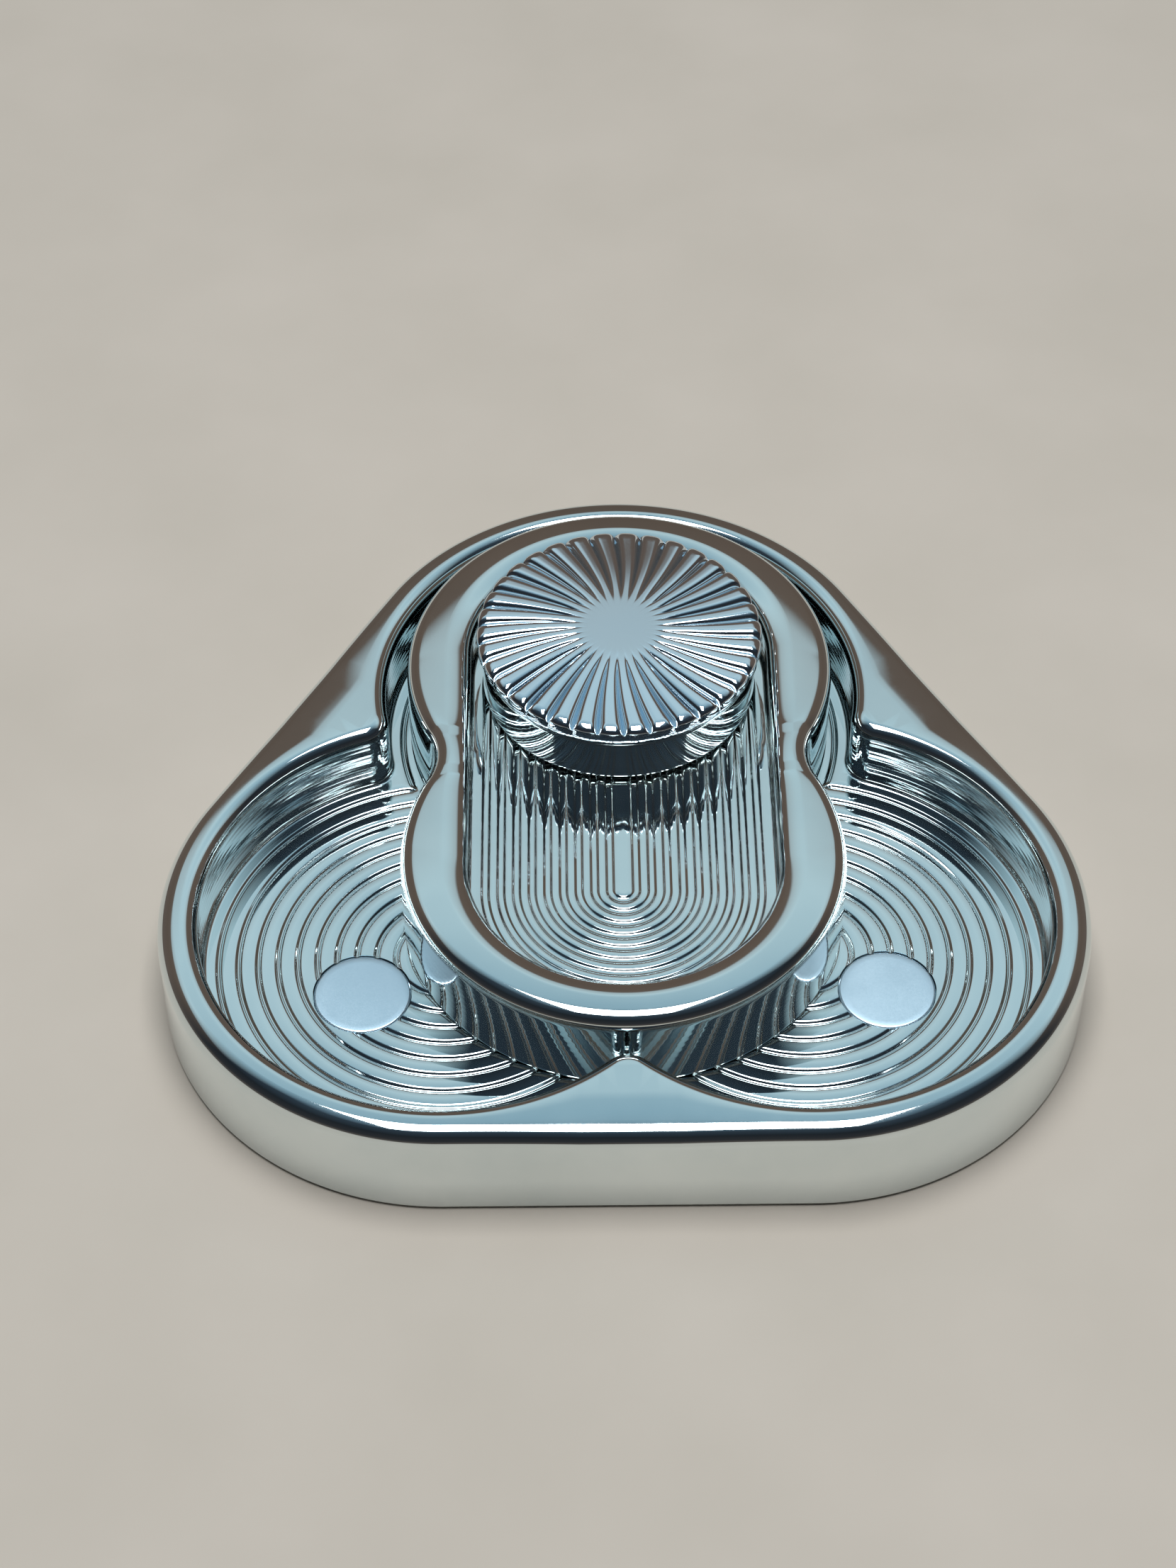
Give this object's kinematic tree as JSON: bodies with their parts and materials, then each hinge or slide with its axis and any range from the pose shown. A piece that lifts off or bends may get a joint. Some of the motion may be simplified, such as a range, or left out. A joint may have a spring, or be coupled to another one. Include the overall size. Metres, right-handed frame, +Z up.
{
  "type": "haptic fidget spinner",
  "caption": "Palm-sized magnetic fidget spinner: rounded-triangle tray, two-lobed rotor that clicks round three pockets, and a fluted button that slides and spins.",
  "frame": {"origin": "on the ground under the tray's centre, on the axis the rotor orbits", "axes": "+X to the right along the tray's straight side, +Y to the far pocket where the rotor rests, +Z up out of the tray"},
  "size_m": [0.057, 0.0541, 0.0102],
  "materials": {
    "polished_steel": "mirror-polished stainless steel",
    "cap_steel": "polished stainless steel, fluted",
    "dark_steel": "fine-turned stainless steel",
    "bearing_steel": "ground bearing steel",
    "magnet": "satin nickel plate",
    "ptfe": "waxy white PTFE"
  },
  "bodies": {
    "tray": {"tray_shell": "polished_steel", "tray_magnet_far": "magnet", "tray_magnet_left": "magnet", "tray_magnet_right": "magnet"},
    "orbit_carrier": {"glide_disc": "ptfe"},
    "rotor": {"rotor_body": "polished_steel", "rotor_magnet_far": "magnet", "rotor_magnet_near": "magnet", "rotor_glide_ring_far": "ptfe", "rotor_glide_ring_near": "ptfe"},
    "puck_carriage": {"puck_base": "dark_steel", "puck_magnet_far": "magnet", "puck_magnet_near": "magnet", "puck_glide_ring": "ptfe", "bearing_shim": "bearing_steel", "axle_screw": "bearing_steel", "bearing_inner_ring": "bearing_steel"},
    "ball_set": {"bearing_balls": "bearing_steel", "bearing_cage": "bearing_steel"},
    "puck_spinner": {"puck_cap": "cap_steel", "puck_skirt": "polished_steel", "bearing_outer_ring": "bearing_steel", "bearing_shield_lower": "bearing_steel", "bearing_shield_upper": "bearing_steel"}
  },
  "joints": [
    {"name": "rotor_orbit", "type": "hinge", "parent": "tray", "child": "orbit_carrier", "pos_m": [0, 0, 0.0025], "axis": [0, 0, 1], "continuous": true},
    {"name": "rotor_turn", "type": "hinge", "parent": "orbit_carrier", "child": "rotor", "pos_m": [0, 0.00545, 0.005], "axis": [0, 0, 1], "continuous": true},
    {"name": "puck_slide", "type": "slide", "parent": "rotor", "child": "puck_carriage", "axis": [0, 1, 0], "range_m": [-0.018, 0]},
    {"name": "cap_spin", "type": "hinge", "parent": "puck_carriage", "child": "puck_spinner", "pos_m": [0, 0.01445, 0.0071], "axis": [0, 0, 1], "continuous": true},
    {"name": "cage_spin", "type": "hinge", "parent": "puck_carriage", "child": "ball_set", "pos_m": [0, 0.01445, 0.0071], "axis": [0, 0, 1], "continuous": true}
  ],
  "couplings": [
    {"joint": "rotor_turn", "follows": "rotor_orbit", "ratio": -1.5},
    {"joint": "cage_spin", "follows": "cap_spin", "ratio": 0.597}
  ]
}
